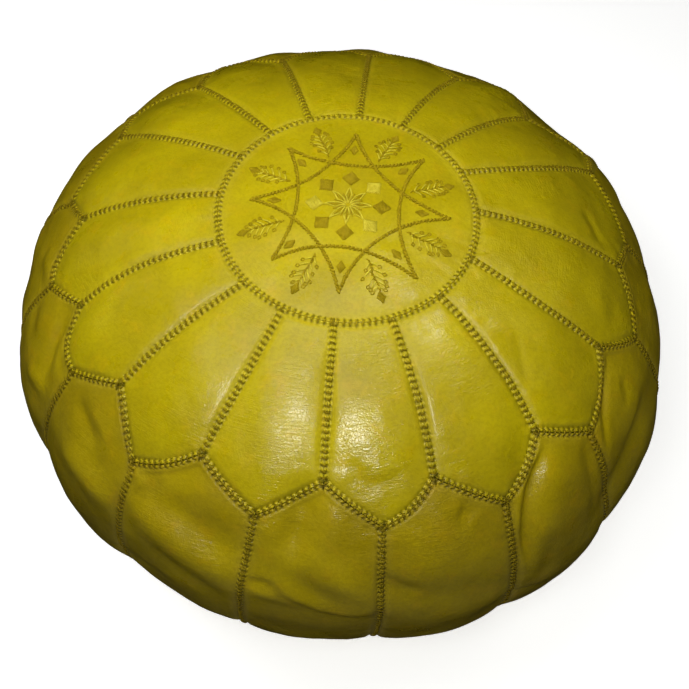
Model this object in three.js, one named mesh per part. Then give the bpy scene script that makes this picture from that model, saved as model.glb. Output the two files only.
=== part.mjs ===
// A round stuffed leather pouf: a stitched medallion on the crown, sixteen petals around it, sixteen
// side panels that interlock with the petals in a zigzag, and a round base that it stands on.
// Millimetres, +Z up. The origin is the centre of the base, on the floor, and -Y is the front.
// Every place on the cover is given by its arc, measured down the meridian from the crown, and by
// its azimuth, counterclockwise from the front seen from above.
import * as THREE from "three";
import { mergeVertices } from "three/addons/utils/BufferGeometryUtils.js";

// Driving dimensions: the body's profile at the level of the seams.
const WIDEST_RADIUS = 257;
const CROWN_RISE = 158;
const CROWN_SQUARENESS = 2.3;
const FOOT_DROP = 160;
const FOOT_SQUARENESS = 2.3;
const FLOOR_DROP = 142;
const OVAL_SWELL = 3;
const OVAL_AZIMUTH = 55;

// Driving dimensions: the leather and its pieces.
const LEATHER = 2.5;
const SEAM_GAP = 0.3;
const BACKING_GAP = 0.5;
const MEDALLION_RADIUS = 91;
const MEDALLION_SHIFT = 5;
const BASE_PANEL_RADIUS = 152;
const MEDALLION_CROWN = 2.5;
const SEAM_TURN = -3;

// How full a piece is across and along: a low power rises steeply beside the seam.
const FULLNESS_ACROSS = 0.6;
const FULLNESS_ALONG = 0.4;
const PETAL_INNER_FULLNESS = 0.55;

// Facets: strips across each half of a panel, and rows from its inner to its outer seam.
const HALF_STRIPS = 3;
const PETAL_ROWS = 6;
const SIDE_ROWS = 10;

// One row for each spoke seam, its petal and the side panel under it, counterclockwise from the
// front. Turns are degrees from even spacing: of the spoke at the medallion, of the spoke's outer
// end, of the petal's tip and of the side seam's foot. Arcs place the spoke's outer end and the tip.
// Bows are how far the spoke and the side seam curve sideways, and how far the two legs of the
// petal's end curve outwards. Crowns are how far the petal and the side panel swell above their seams.
const PIECE_COLUMNS = [
  "spokeIn", "spokeOut", "valleyArc", "spokeBow", "tipTurn", "tipArc", "footTurn", "sideBow",
  "firstLegBow", "lastLegBow", "petalCrown", "sideCrown",
];
const PIECE_ROWS = [
  [0, 1, 200, 0, 0.5, 229, -0.5, -2, 0, 4, 4, 4.5],
  [0.5, -0.5, 202, 1.5, 0, 235, -1, -3, 0, 3, 4.5, 6],
  [0.5, -0.5, 204, 3, -2, 231, -2, -4, 0, 5, 4, 8.5],
  [1.5, 1, 202, -2.5, -1.5, 234, -1.5, -2, 2, 2, 4, 6],
  [4.5, 1, 211, -1.5, -3, 229, -1.5, 0, 0, 3, 3.5, 4],
  [5, 4.5, 220, -3.5, -1, 236, 0, 2, 1, 2, 4, 5],
  [0.5, 0.5, 198, 2, 0, 240, 1, -1, 3, 0, 5, 4.5],
  [0, -1.5, 190, 1, 1, 234, 0, 2, 0, 2, 4.5, 5],
  [-0.5, -0.5, 198, 0, 0, 230, -1, 3, 2, 0, 4.5, 7.5],
  [2, -0.5, 188, -1, 0, 233, 1, 0, 0, 3, 4, 6.5],
  [0.5, -0.5, 192, 0, 1, 232, 0, -3, 4, 0, 4, 8],
  [-2, -1.5, 212, 0.5, 6, 225, 2, -2, 0, 2, 4.5, 5],
  [-1, 1, 201, 0, 3, 232, 1, 1, 3, 0, 4, 5],
  [2.5, 0, 207, -4.5, 0.5, 232, 0.5, 2, 9, 0, 3.5, 7.5],
  [3.5, -0.5, 204, -3, -1, 239, -1, 6, -3, 3, 4.5, 7.5],
  [1, -0.5, 205, 1, 1, 230, -0.5, 0, 1, 0, 4, 4.5],
];

// The main swells, hollows and folds of the leather, as soft troughs: each one's centre, its length
// and width in millimetres, its turn in degrees from the meridian, and its depth, below 0 where it
// stands proud. The first rows are the broad ones that make the outline uneven.
const FOLD_COLUMNS = ["azimuth", "arc", "length", "width", "turn", "depth"];
const FOLD_ROWS = [
  [90, 305, 170, 130, 0, 4.5],
  [3, 375, 130, 110, 0, 3.0],
  [-29, 365, 120, 70, 0, 3.0],
  [-172, 240, 100, 50, 0, 2.0],
  [144, 240, 100, 56, 0, -3.0],
  [132, 242, 100, 56, 0, 2.5],
  [120, 250, 110, 60, 0, -3.0],
  [-27, 251, 100, 28, 82, 3.0],
  [-23, 278, 120, 36, 74, -4.5],
  [-5.5, 240, 60, 30, 8, 3.5],
  [-3, 287, 80, 30, 60, 3.5],
  [2, 272, 80, 26, 48, -3.0],
  [18, 290, 90, 34, 75, 3.0],
  [35, 238, 90, 26, -20, 3.5],
  [37, 260, 80, 26, -12, -2.0],
  [58, 282, 120, 32, 105, 4.0],
  [52, 250, 60, 24, 10, -2.0],
  [-46, 253, 80, 26, 60, 2.5],
  [-65, 252, 110, 34, 20, 3.5],
  [-71, 222, 60, 26, 10, 2.5],
  [49, 160, 80, 24, 25, 1.5],
  [98, 200, 70, 28, 70, 1.5],
  [152, 330, 130, 44, 40, 4.0],
  [-163, 345, 140, 40, -30, 4.0],
  [-118, 335, 130, 44, 35, 4.0],
  [-93, 300, 110, 40, -40, 3.0],
  [108, 360, 130, 44, 30, 3.5],
];

const PIECES = 16;
const FULL_TURN = 360;
const PIECE_ANGLE = FULL_TURN / PIECES;
const ARC_STEPS = 720;
const HALF_GAP = SEAM_GAP / 2;
const MERGE_DISTANCE = 1e-3;

// Rings of the flat disc under the base, as shares of its radius: each has half the last one's places.
const FLAT_RING_SHARES = [0.78, 0.58, 0.4, 0.24];

const seams = PIECE_ROWS.map((row) => named(PIECE_COLUMNS, row));
const folds = FOLD_ROWS.map((row) => named(FOLD_COLUMNS, row));

// A row of a table as an object with the columns' names.
function named(columns, row) {
  return Object.fromEntries(columns.map((column, index) => [column, row[index]]));
}

// The body's profile at a polar angle from the crown: the radius, the height above the widest
// level, and the outward normal's two parts.
function profileAt(polar) {
  const upper = polar <= Math.PI / 2;
  const rise = upper ? CROWN_RISE : FOOT_DROP;
  const power = upper ? CROWN_SQUARENESS : FOOT_SQUARENESS;
  const across = Math.sin(polar) / WIDEST_RADIUS;
  const up = Math.abs(Math.cos(polar)) / rise;
  const reach = (across ** power + up ** power) ** (-1 / power);
  const slopeOut = (reach * across) ** (power - 1) / WIDEST_RADIUS;
  const slopeUp = ((reach * up) ** (power - 1) / rise) * (upper ? 1 : -1);
  const length = Math.hypot(slopeOut, slopeUp);
  return {
    radius: reach * Math.sin(polar),
    height: reach * Math.cos(polar),
    normalOut: slopeOut / length,
    normalUp: slopeUp / length,
  };
}

// The arc from the crown to each of many even polar angles.
const arcs = [0];
for (let step = 1; step <= ARC_STEPS; step += 1) {
  const before = profileAt(((step - 1) * Math.PI) / ARC_STEPS);
  const after = profileAt((step * Math.PI) / ARC_STEPS);
  const length = Math.hypot(after.radius - before.radius, after.height - before.height);
  arcs.push(arcs[step - 1] + length);
}

// The profile at an arc from the crown.
function profileAtArc(arc) {
  let step = arcs.findIndex((length) => length > arc);
  if (step < 1) step = 1;
  const share = (arc - arcs[step - 1]) / (arcs[step] - arcs[step - 1]);
  return profileAt(((step - 1 + share) * Math.PI) / ARC_STEPS);
}

// The arc at which the lower half has a given radius.
function footArc(radius) {
  const share = (1 - (radius / WIDEST_RADIUS) ** FOOT_SQUARENESS) ** (1 / FOOT_SQUARENESS);
  const depth = FOOT_DROP * share;
  const steps = (Math.atan2(radius, -depth) / Math.PI) * ARC_STEPS;
  const whole = Math.floor(steps);
  return THREE.MathUtils.lerp(arcs[whole], arcs[whole + 1], steps - whole);
}

// The shorter way round from one azimuth to another.
function turnBetween(from, to) {
  return THREE.MathUtils.euclideanModulo(to - from + FULL_TURN / 2, FULL_TURN) - FULL_TURN / 2;
}

// How far the folds sink the leather at a place.
function foldDepth(azimuth, arc, radius) {
  let depth = 0;
  for (const fold of folds) {
    const across = THREE.MathUtils.degToRad(turnBetween(fold.azimuth, azimuth)) * radius;
    const down = arc - fold.arc;
    const turn = THREE.MathUtils.degToRad(fold.turn);
    const along = down * Math.cos(turn) + across * Math.sin(turn);
    const beside = across * Math.cos(turn) - down * Math.sin(turn);
    const spread = (2 * along / fold.length) ** 2 + (2 * beside / fold.width) ** 2;
    depth += fold.depth * Math.exp(-spread);
  }
  return depth;
}

// A point at a height above the level of the seams, less the depth of the folds there.
function coverPoint({ arc, azimuth, height }) {
  const at = profileAtArc(arc);
  const angle = THREE.MathUtils.degToRad(azimuth);
  const swell = OVAL_SWELL * Math.cos(2 * THREE.MathUtils.degToRad(azimuth - OVAL_AZIMUTH));
  const lift = height - foldDepth(azimuth, arc, at.radius);
  const radius = at.radius + swell * (at.radius / WIDEST_RADIUS) ** 2 + lift * at.normalOut;
  const up = FLOOR_DROP + at.height + lift * at.normalUp;
  return new THREE.Vector3(radius * Math.sin(angle), -radius * Math.cos(angle), up);
}

// The degrees that a length along the level circle spans at an arc.
function degreesOf(length, arc) {
  return THREE.MathUtils.radToDeg(length / profileAtArc(arc).radius);
}

const lerp = THREE.MathUtils.lerp;
const FOOT_SEAM_ARC = footArc(BASE_PANEL_RADIUS);

// Where the lower half meets the floor.
const FLAT_SHARE = (1 - (FLOOR_DROP / FOOT_DROP) ** FOOT_SQUARENESS) ** (1 / FOOT_SQUARENESS);
const FLAT_RADIUS = WIDEST_RADIUS * FLAT_SHARE;

// The medallion's edge: it lies a little towards the front of the crown.
function medallionArc(azimuth) {
  return MEDALLION_RADIUS + MEDALLION_SHIFT * Math.cos(THREE.MathUtils.degToRad(azimuth));
}

// The seams' ends, numbered so that a number past the last comes round to the front again.
function seamRow(number) {
  return seams[(number + PIECES) % PIECES];
}

function spokeIn(number) {
  const azimuth = number * PIECE_ANGLE + SEAM_TURN + seamRow(number).spokeIn;
  return { arc: medallionArc(azimuth), azimuth };
}

function valley(number) {
  const row = seamRow(number);
  return { arc: row.valleyArc, azimuth: number * PIECE_ANGLE + SEAM_TURN + row.spokeOut };
}

function tip(number) {
  const row = seamRow(number);
  return { arc: row.tipArc, azimuth: (number + 0.5) * PIECE_ANGLE + SEAM_TURN + row.tipTurn };
}

function sideFoot(number) {
  return { arc: FOOT_SEAM_ARC, azimuth: (number + 0.5) * PIECE_ANGLE + SEAM_TURN + seamRow(number).footTurn };
}

function between(from, to, share) {
  return { arc: lerp(from.arc, to.arc, share), azimuth: lerp(from.azimuth, to.azimuth, share) };
}

// A curved leg of the zigzag, from one end to the other.
function onLeg(from, to, bow, share) {
  const place = between(from, to, share);
  return { arc: place.arc + bow * Math.sin(Math.PI * share), azimuth: place.azimuth };
}

// The leg from a spoke's outer end to the next petal's tip, and the leg on to the next spoke.
function firstLeg(number, share) {
  return onLeg(valley(number), tip(number), seamRow(number).firstLegBow, share);
}

function lastLeg(number, share) {
  return onLeg(tip(number), valley(number + 1), seamRow(number).lastLegBow, share);
}

// How far along the meridian a leg moves for a move of one across it.
function legStretch(from, to) {
  const across = THREE.MathUtils.degToRad(to.azimuth - from.azimuth) * profileAtArc(from.arc).radius;
  return Math.hypot(across, to.arc - from.arc) / Math.abs(across);
}

function insetOnLegs(insets, across) {
  return across === 0.5 ? Math.max(...insets) : insets[across < 0.5 ? 0 : 1];
}

function swelling(across, along) {
  return (4 * across * (1 - across)) ** FULLNESS_ACROSS * (4 * along * (1 - along)) ** FULLNESS_ALONG;
}

// A panel as a grid of places: rows run from its inner edge to its outer edge, and each row runs
// counterclockwise. Its sides, and its inner and outer edges, are drawn in by half a seam's gap.
// Its sides sway by the lengths that bow gives.
function panelGrid({ inner, outer, rows, crown, bow, inset }) {
  const grid = [];
  const strips = 2 * HALF_STRIPS;
  for (let row = 0; row <= rows; row += 1) {
    const along = row / rows;
    const line = [];
    for (let strip = 0; strip <= strips; strip += 1) {
      const across = strip / strips;
      const place = between(inner(across), outer(across), along);
      const sideways = bow(across, along) + inset * (1 - 2 * across);
      const height = crown(along) * swelling(across, along);
      line.push({ arc: place.arc, azimuth: place.azimuth + degreesOf(sideways, place.arc), height });
    }
    grid.push(line);
  }
  return grid;
}

// The petal between a spoke and the next, from the medallion out to its pointed end.
function petalGrid(number, inset) {
  const left = spokeIn(number);
  const right = spokeIn(number + 1);
  const legInset = [
    inset * legStretch(valley(number), tip(number)),
    inset * legStretch(tip(number), valley(number + 1)),
  ];
  const inner = (across) => {
    const { azimuth } = between(left, right, across);
    return { arc: medallionArc(azimuth) + inset, azimuth };
  };
  const outer = (across) => {
    const place = across < 0.5 ? firstLeg(number, 2 * across) : lastLeg(number, 2 * across - 1);
    return { arc: place.arc - insetOnLegs(legInset, across), azimuth: place.azimuth };
  };
  const crown = (along) => seamRow(number).petalCrown * lerp(PETAL_INNER_FULLNESS, 1, along);
  const bows = [seamRow(number).spokeBow, seamRow(number + 1).spokeBow];
  const bow = (across, along) => lerp(...bows, across) * Math.sin(Math.PI * along);
  return panelGrid({ inner, outer, rows: PETAL_ROWS, crown, bow, inset });
}

// The side panel under a spoke's outer end, between the side seams of the two petals beside it.
function sideGrid(number, inset) {
  const legInset = [
    inset * legStretch(tip(number - 1), valley(number)),
    inset * legStretch(valley(number), tip(number)),
  ];
  const inner = (across) => {
    const place = across < 0.5 ? lastLeg(number - 1, 2 * across) : firstLeg(number, 2 * across - 1);
    return { arc: place.arc + insetOnLegs(legInset, across), azimuth: place.azimuth };
  };
  const outer = (across) => {
    const place = between(sideFoot(number - 1), sideFoot(number), across);
    return { arc: place.arc - inset, azimuth: place.azimuth };
  };
  const crown = () => seamRow(number).sideCrown;
  const bows = [seamRow(number - 1).sideBow, seamRow(number).sideBow];
  const bow = (across, along) => lerp(...bows, across) * Math.sin(Math.PI * Math.sqrt(along));
  return panelGrid({ inner, outer, rows: SIDE_ROWS, crown, bow, inset });
}

// The medallion's rings from its edge inwards: the share of its radius, and how many of the edge's
// places each step of the ring spans.
const MEDALLION_RINGS = [
  { share: 1, stride: 1 },
  { share: 0.88, stride: 2 },
  { share: 0.66, stride: 2 },
  { share: 0.4, stride: 4 },
  { share: 0.18, stride: 8 },
];

function medallionRings(inset) {
  const azimuths = [];
  for (let number = 0; number < PIECES; number += 1) {
    for (let strip = 0; strip < 2 * HALF_STRIPS; strip += 1) {
      azimuths.push(between(spokeIn(number), spokeIn(number + 1), strip / (2 * HALF_STRIPS)).azimuth);
    }
  }
  return MEDALLION_RINGS.map(({ share, stride }) => {
    const ring = azimuths.filter((_, index) => index % stride === 0);
    const height = MEDALLION_CROWN * (1 - share ** 2) ** FULLNESS_ACROSS;
    return ring.map((azimuth) => ({ arc: share * (medallionArc(azimuth) - inset), azimuth, height }));
  });
}

function triangle(soup, a, b, c) {
  for (const corner of [a, b, c]) soup.push(corner.x, corner.y, corner.z);
}

// A grid's surface, facing out, or facing in when turned.
function addGrid(soup, grid, turned) {
  for (let row = 0; row + 1 < grid.length; row += 1) {
    for (let strip = 0; strip + 1 < grid[row].length; strip += 1) {
      const [a, b] = [grid[row][strip], grid[row + 1][strip]];
      const [c, d] = [grid[row + 1][strip + 1], grid[row][strip + 1]];
      const mirrored = 2 * strip >= grid[row].length - 1;
      const faces = mirrored ? [[a, b, c], [a, c, d]] : [[a, b, d], [b, c, d]];
      for (const [p, q, r] of faces) triangle(soup, p, turned ? r : q, turned ? q : r);
    }
  }
}

// The strip between a closed ring and one inside it with as many places, or half as many.
function addRing(soup, outer, inner, turned) {
  const stride = outer.length / inner.length;
  for (let index = 0; index < inner.length; index += 1) {
    const next = (index + 1) % inner.length;
    const faces = [];
    for (let step = 0; step < stride; step += 1) {
      const from = outer[index * stride + step];
      const to = outer[(index * stride + step + 1) % outer.length];
      faces.push([inner[2 * step < stride ? index : next], from, to]);
    }
    const middle = outer[(index * stride + Math.ceil(stride / 2)) % outer.length];
    faces.push([inner[index], middle, inner[next]]);
    for (const [p, q, r] of faces) triangle(soup, p, turned ? r : q, turned ? q : r);
  }
}

// The fan that closes the innermost ring on one point.
function addFan(soup, ring, centre, turned) {
  ring.forEach((from, index) => {
    const to = ring[(index + 1) % ring.length];
    triangle(soup, centre, turned ? to : from, turned ? from : to);
  });
}

function addRim(soup, above, below) {
  for (let index = 0; index + 1 < above.length; index += 1) {
    triangle(soup, above[index], below[index], above[index + 1]);
    triangle(soup, above[index + 1], below[index], below[index + 1]);
  }
}

// The grid's places as points, sunk by a depth below the cover's face.
function pointsOf(grid, depth) {
  return grid.map((line) => line.map((place) => coverPoint({ ...place, height: place.height - depth })));
}

function crownPoint(depth) {
  return coverPoint({ arc: 0, azimuth: 0, height: MEDALLION_CROWN - depth });
}

function solidOf(soup) {
  const geometry = new THREE.BufferGeometry();
  geometry.setAttribute("position", new THREE.Float32BufferAttribute(soup, 3));
  const merged = mergeVertices(geometry, MERGE_DISTANCE);
  merged.computeVertexNormals();
  return merged;
}

// A sheet of leather with the grid's shape: its face, its back and the cut edge between them.
function sheetSolid(grid) {
  const soup = [];
  const face = pointsOf(grid, 0);
  const back = pointsOf(grid, LEATHER);
  addGrid(soup, face, false);
  addGrid(soup, back, true);
  const edge = (sheet) => [
    ...sheet[0],
    ...sheet.slice(1).map((line) => line.at(-1)),
    ...sheet.at(-1).slice(0, -1).reverse(),
    ...sheet.slice(0, -1).reverse().map((line) => line[0]),
  ];
  addRim(soup, edge(back), edge(face));
  return solidOf(soup);
}

function medallionSolid() {
  const soup = [];
  const rings = medallionRings(HALF_GAP);
  const face = pointsOf(rings, 0);
  const back = pointsOf(rings, LEATHER);
  for (const [sheet, depth, turned] of [[face, 0, false], [back, LEATHER, true]]) {
    for (let ring = 0; ring + 1 < sheet.length; ring += 1) {
      addRing(soup, sheet[ring], sheet[ring + 1], turned);
    }
    addFan(soup, sheet.at(-1), crownPoint(depth), turned);
  }
  addRim(soup, [...face[0], face[0][0]], [...back[0], back[0][0]]);
  return solidOf(soup);
}

// The stuffed body: it follows the back of every piece of leather, a little below it, and comes out
// to the cover's face at the base panel, which is flat where it stands.
function stuffedBaseSolid() {
  const soup = [];
  const depth = LEATHER + BACKING_GAP;
  const crown = pointsOf(medallionRings(0), depth);
  for (let ring = 0; ring + 1 < crown.length; ring += 1) addRing(soup, crown[ring], crown[ring + 1], false);
  addFan(soup, crown.at(-1), crownPoint(depth), false);
  const footPlaces = [];
  for (let number = 0; number < PIECES; number += 1) {
    addGrid(soup, pointsOf(petalGrid(number, 0), depth), false);
    const side = sideGrid(number, 0);
    side.at(-1).forEach((place) => {
      place.arc += HALF_GAP;
    });
    addGrid(soup, pointsOf(side, depth), false);
    footPlaces.push(...side.at(-1).slice(0, -1));
  }
  const wall = pointsOf([footPlaces], depth)[0];
  const basePanelEdge = pointsOf([footPlaces], 0)[0];
  const flatEdge = footPlaces.map(({ azimuth }) => floorPoint(FLAT_RADIUS, azimuth));
  addBand(soup, wall, basePanelEdge);
  addBand(soup, basePanelEdge, flatEdge);
  addFlat(soup, footPlaces.map((place) => place.azimuth), flatEdge);
  return solidOf(soup);
}

function floorPoint(radius, azimuth) {
  const angle = THREE.MathUtils.degToRad(azimuth);
  return new THREE.Vector3(radius * Math.sin(angle), -radius * Math.cos(angle), 0);
}

// The band from one closed ring down to the next.
function addBand(soup, upper, lower) {
  addGrid(soup, [[...upper, upper[0]], [...lower, lower[0]]], false);
}

// The flat disc under the base: rings whose places halve towards the centre, closed by a fan.
function addFlat(soup, azimuths, edge) {
  let ring = edge;
  let stride = 1;
  for (const share of FLAT_RING_SHARES) {
    stride *= 2;
    const places = azimuths.filter((_, index) => index % stride === 0);
    const inner = places.map((azimuth) => floorPoint(share * FLAT_RADIUS, azimuth));
    addRing(soup, ring, inner, true);
    ring = inner;
  }
  addFan(soup, ring, floorPoint(0, 0), true);
}

function leather(colour, roughness) {
  return new THREE.MeshStandardMaterial({ color: colour, roughness, metalness: 0 });
}

function piece(name, geometry, material) {
  const mesh = new THREE.Mesh(geometry, material);
  mesh.name = name;
  return mesh;
}

function twoDigits(number) {
  return String(number).padStart(2, "0");
}

const pouf = new THREE.Group();
pouf.name = "leather_pouf";

const cover = new THREE.Group();
cover.add(piece("medallion", medallionSolid(), leather(0xb9ac1e, 0.42)));
for (let number = 0; number < PIECES; number += 1) {
  const label = twoDigits(number + 1);
  cover.add(piece(`petal_${label}`, sheetSolid(petalGrid(number, HALF_GAP)), leather(0xb5a81a, 0.38)));
  cover.add(piece(`side_panel_${label}`, sheetSolid(sideGrid(number, HALF_GAP)), leather(0xa39616, 0.4)));
}
pouf.add(cover);
pouf.add(piece("stuffed_base", stuffedBaseSolid(), leather(0x8c8014, 0.6)));

export default pouf;
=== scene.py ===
import math

import bpy
import numpy as np
from mathutils import Matrix, Vector


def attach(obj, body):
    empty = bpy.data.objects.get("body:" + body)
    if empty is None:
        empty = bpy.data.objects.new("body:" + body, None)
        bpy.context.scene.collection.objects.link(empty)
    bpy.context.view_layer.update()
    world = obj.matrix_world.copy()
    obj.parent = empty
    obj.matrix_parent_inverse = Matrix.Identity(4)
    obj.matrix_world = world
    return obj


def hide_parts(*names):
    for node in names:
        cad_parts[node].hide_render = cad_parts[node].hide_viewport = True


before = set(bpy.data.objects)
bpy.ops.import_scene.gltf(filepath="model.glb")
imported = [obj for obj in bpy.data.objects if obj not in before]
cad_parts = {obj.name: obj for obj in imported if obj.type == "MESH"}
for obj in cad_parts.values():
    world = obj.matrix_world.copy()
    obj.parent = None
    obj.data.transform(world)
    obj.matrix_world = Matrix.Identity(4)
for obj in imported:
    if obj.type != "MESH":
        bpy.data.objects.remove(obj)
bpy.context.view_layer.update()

# A stuffed leather pouf dressed with high-resolution leather panels, whipped seams and a sewn
# medallion. Lengths in the tables and the helpers are millimetres; meshes are made in metres.
# Every place on the cover is given by its arc, measured down the meridian from the crown, and by
# its azimuth in degrees, counterclockwise from the front seen from above.
MM = 0.001

# The body's profile at the level of the seams.
WIDEST_RADIUS = 257.0
CROWN_RISE = 158.0
CROWN_SQUARENESS = 2.3
FOOT_DROP = 160.0
FOOT_SQUARENESS = 2.3
FLOOR_DROP = 142.0
OVAL_SWELL = 3.0
OVAL_AZIMUTH = 55.0

# The leather and its pieces.
PIECES = 16
FULL_TURN = 360.0
PIECE_ANGLE = FULL_TURN / PIECES
LEATHER = 2.2
MEDALLION_RADIUS = 91.0
MEDALLION_SHIFT = 5.0
MEDALLION_CROWN = 2.5
BASE_PANEL_RADIUS = 152.0
SEAM_TURN = -3.0
PETAL_FULLNESS = 0.95
SIDE_FULLNESS = 0.7
SIDE_CROWN_SHARE = 0.75
FULLNESS_ALONG = 0.75
PETAL_INNER_FULLNESS = 0.55

# One row for each spoke seam, its petal and the side panel under it. Turns are degrees from even
# spacing, arcs place the spoke's outer end and the petal's tip, bows are how far a seam curves,
# and crowns are how far a piece swells above its seams.
PIECE_COLUMNS = (
    "spoke_in spoke_out valley_arc spoke_bow tip_turn tip_arc foot_turn side_bow "
    "first_leg_bow last_leg_bow petal_crown side_crown"
).split()
PIECE_ROWS = [
    [0, 1, 200, 0, 0.5, 229, -0.5, -2, 0, 4, 4, 4.5],
    [0.5, -0.5, 202, 1.5, 0, 235, -1, -3, 0, 3, 4.5, 6],
    [0.5, -0.5, 204, 3, -2, 231, -2, -4, 0, 5, 4, 8.5],
    [1.5, 1, 202, -2.5, -1.5, 234, -1.5, -2, 2, 2, 4, 6],
    [4.5, 1, 211, -1.5, -3, 229, -1.5, 0, 0, 3, 3.5, 4],
    [5, 4.5, 220, -3.5, -1, 236, 0, 2, 1, 2, 4, 5],
    [0.5, 0.5, 198, 2, 0, 240, 1, -1, 3, 0, 5, 4.5],
    [0, -1.5, 190, 1, 1, 234, 0, 2, 0, 2, 4.5, 5],
    [-0.5, -0.5, 198, 0, 0, 230, -1, 3, 2, 0, 4.5, 7.5],
    [2, -0.5, 188, -1, 0, 233, 1, 0, 0, 3, 4, 6.5],
    [0.5, -0.5, 192, 0, 1, 232, 0, -3, 4, 0, 4, 8],
    [-2, -1.5, 212, 0.5, 6, 225, 2, -2, 0, 2, 4.5, 5],
    [-1, 1, 201, 0, 3, 232, 1, 1, 3, 0, 4, 5],
    [2.5, 0, 207, -4.5, 0.5, 232, 0.5, 2, 9, 0, 3.5, 7.5],
    [3.5, -0.5, 204, -3, -1, 239, -1, 6, -3, 3, 4.5, 7.5],
    [1, -0.5, 205, 1, 1, 230, -0.5, 0, 1, 0, 4, 4.5],
]

# The main swells, hollows and folds, the same as the solids have: centre, length, width, turn from
# the meridian and depth, below 0 where the leather stands proud.
FOLD_COLUMNS = "azimuth arc length width turn depth".split()
FOLD_ROWS = [
    [90, 305, 170, 130, 0, 4.5],
    [3, 375, 130, 110, 0, 3.0],
    [-29, 365, 120, 70, 0, 3.0],
    [-172, 240, 100, 50, 0, 2.0],
    [144, 240, 100, 56, 0, -3.0],
    [132, 242, 100, 56, 0, 2.5],
    [120, 250, 110, 60, 0, -3.0],
    [-27, 251, 100, 28, 82, 3.0],
    [-23, 278, 120, 36, 74, -4.5],
    [-5.5, 240, 60, 30, 8, 3.5],
    [-3, 287, 80, 30, 60, 3.5],
    [2, 272, 80, 26, 48, -3.0],
    [18, 290, 90, 34, 75, 3.0],
    [35, 238, 90, 26, -20, 3.5],
    [37, 260, 80, 26, -12, -2.0],
    [58, 282, 120, 32, 105, 4.0],
    [52, 250, 60, 24, 10, -2.0],
    [-46, 253, 80, 26, 60, 2.5],
    [-65, 252, 110, 34, 20, 3.5],
    [-71, 222, 60, 26, 10, 2.5],
    [49, 160, 80, 24, 25, 1.5],
    [98, 200, 70, 28, 70, 1.5],
    [152, 330, 130, 44, 40, 4.0],
    [-163, 345, 140, 40, -30, 4.0],
    [-118, 335, 130, 44, 35, 4.0],
    [-93, 300, 110, 40, -40, 3.0],
    [108, 360, 130, 44, 30, 3.5],
]

# Finer creases and ridges, each along a line from one place to another: how far its middle bows to
# the left hand of that way, its half widths on the left and right hand, and its depth, below 0 for
# a ridge.
CREASE_COLUMNS = "from_azimuth from_arc to_azimuth to_arc bow left right depth".split()
CREASE_ROWS = [
    [-32, 266, -15, 282, 6, 10, 12, -2.0],
    [-30, 290, -16, 310, 4, 9, 12, 2.0],
    [-36.5, 243, -33.5, 250, 0, 6, 6, -1.8],
    [-51, 274, -38, 283, 3, 12, 10, -3.5],
    [-53, 239, -46, 248, 0, 5, 6, 1.5],
    [-50, 232, -43, 240, 0, 5, 5, -1.0],
    [-4.4, 205, -6.4, 256, -1, 11, 9, 4.2],
    [0.5, 210, 0.5, 245, 0, 9, 8, -1.3],
    [-8, 280, 6, 302, -4, 10, 4.5, -4.5],
    [-12, 300, -3, 309, 2, 8, 10, 1.8],
    [-12, 289, -4.5, 298, 2, 5, 4, -1.2],
    [-13, 281, -8, 281, 1, 2.5, 5, 1.4],
    [8.6, 268, 14, 284, 0, 5, 9, 2.4],
    [22, 229, 24, 236, 0, 7, 8, 1.8],
    [16, 312, 28, 316, 0, 12, 12, -1.6],
    [39.8, 219, 31.8, 288, -10, 5, 3, 3.6],
    [38.3, 216, 31.0, 264, -5, 4, 4, -2.2],
    [48.5, 234, 46.0, 285, 0, 6, 6, 1.5],
    [36.2, 276, 35.0, 316, 0, 8, 8, 2.2],
    [51.5, 284, 65, 262, 0, 4, 12, 3.5],
    [63.3, 214, 52.0, 250, -4, 3, 3, 2.0],
    [64.5, 232, 61.5, 246, 0, 5, 5, 1.4],
    [-71, 222, -64, 264, 0, 6, 5, 3.6],
    [-67.5, 228, -60.5, 256, 0, 5, 6, -1.4],
    [-68, 276, -62, 272, 0, 7, 6, -2.4],
    [-77, 250, -72, 262, 0, 6, 6, 1.8],
    [-87, 238, -80.5, 231, 0, 8, 8, -2.2],
    [3.0, 186, 5, 199, 0, 5, 5, 0.8],
    [4.0, 200, 13, 196, -1.5, 4, 8, 1.0],
    [52, 146, 46, 174, 0, 4, 4, 1.2],
    [99, 184, 91.5, 195, 0, 4, 5, 1.6],
    [77, 203, 71, 207, 0, 6, 6, 0.7],
    [109, 262, 117, 308, 4, 5, 9, 2.2],
    [143, 278, 133, 322, 4, 5, 9, 2.2],
    [157, 262, 169, 288, -4, 4, 9, 2.0],
    [-165, 288, -177, 312, 4, 4, 9, 2.0],
    [-155, 262, -145, 298, 4, 5, 8, 2.0],
    [-123, 285, -133, 325, -4, 4, 9, 2.0],
    [-109, 258, -99, 292, 4, 4, 9, 2.2],
    [-90, 308, -78, 332, 4, 5, 10, 2.0],
    [78, 320, 90, 340, 4, 5, 10, 1.8],
    [25, 325, 37, 340, 3, 5, 10, 1.5],
    [-39, 345, -27, 325, 3, 5, 10, 1.5],
    [151, 205, 155, 238, 3, 6, 6, 2.0],
    [-137, 205, -141, 240, -4, 6, 6, 2.0],
    [-96, 206, -99, 236, 3, 6, 6, 1.8],
]


def rows_of(columns, rows):
    return [dict(zip(columns, row)) for row in rows]


PIECE = rows_of(PIECE_COLUMNS, PIECE_ROWS)
FOLDS = rows_of(FOLD_COLUMNS, FOLD_ROWS)


def lerp(a, b, share):
    return a + (b - a) * share


def smooth(low, high, value):
    share = np.clip((value - low) / (high - low), 0, 1)
    return share * share * (3 - 2 * share)


# The surface.


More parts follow.
